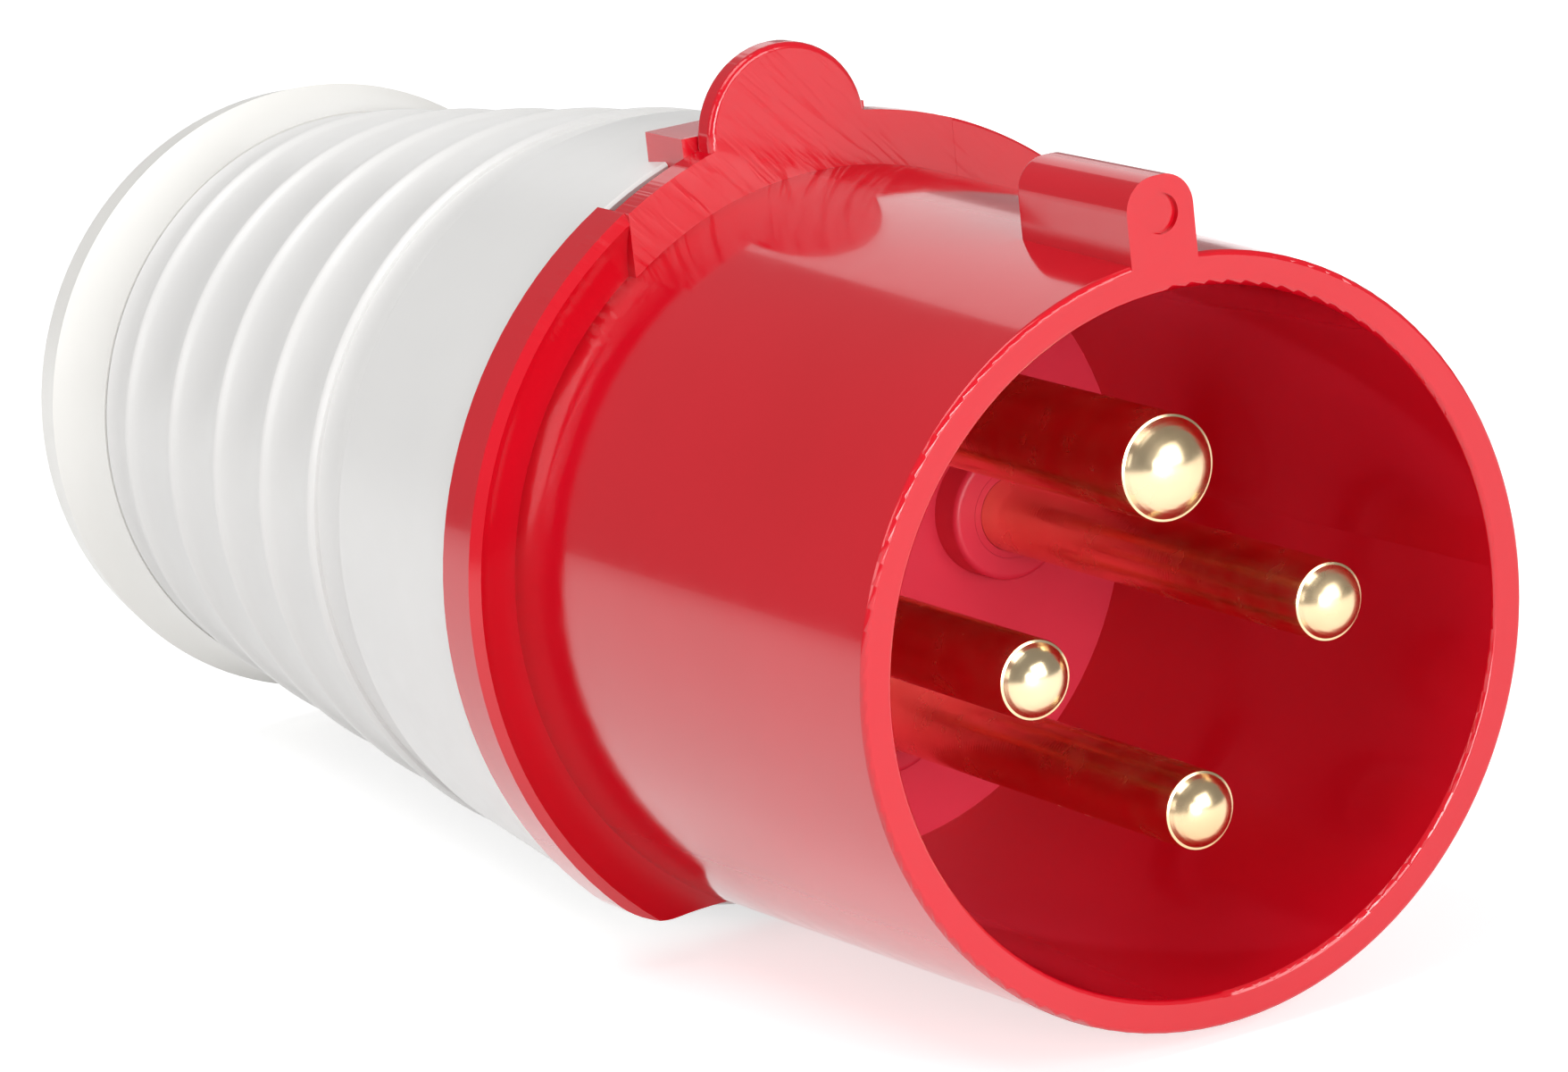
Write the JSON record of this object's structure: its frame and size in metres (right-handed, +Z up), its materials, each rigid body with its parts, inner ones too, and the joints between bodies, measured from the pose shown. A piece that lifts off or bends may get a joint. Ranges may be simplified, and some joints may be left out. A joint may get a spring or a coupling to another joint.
{
  "type": "industrial plug",
  "caption": "Industrial three-phase plug with a keyed round shroud, domed contact pins, a latch ear, a ribbed rear housing and a flared cable gland nut.",
  "frame": {"origin": "centre of the cable opening at the rear face of the gland nut", "axes": "the plug lies on the flat under its body; -Y along the pins towards the mating end, +Z up through the keyway and the latch ear"},
  "size_m": [0.0678, 0.142, 0.0699],
  "materials": {
    "red_plastic": "glossy moulded",
    "red_insert": "satin moulded",
    "grey_plastic": "satin moulded",
    "cream_plastic": "satin moulded",
    "contact_brass": "polished",
    "screw_steel": "zinc plated",
    "black_rubber": "smooth",
    "clamp_plastic": "moulded"
  },
  "bodies": {
    "root": {"clamp_collet": "grey_plastic", "clamp_nuts": "screw_steel", "clamp_screws": "screw_steel", "cord_clamp_bar": "clamp_plastic", "cord_clamp_base": "clamp_plastic", "earth_pin": "contact_brass", "earth_terminal_screw": "screw_steel", "front_housing": "red_plastic", "gland_nut": "cream_plastic", "gland_seal": "black_rubber", "gland_washer": "clamp_plastic", "housing_seal": "black_rubber", "phase_terminal_screws": "screw_steel", "pin_carrier": "red_insert", "pin_l1": "contact_brass", "pin_l2": "contact_brass", "pin_l3": "contact_brass", "pin_retainer": "red_insert", "rear_housing": "grey_plastic", "retainer_screw": "screw_steel"}
  },
  "joints": []
}
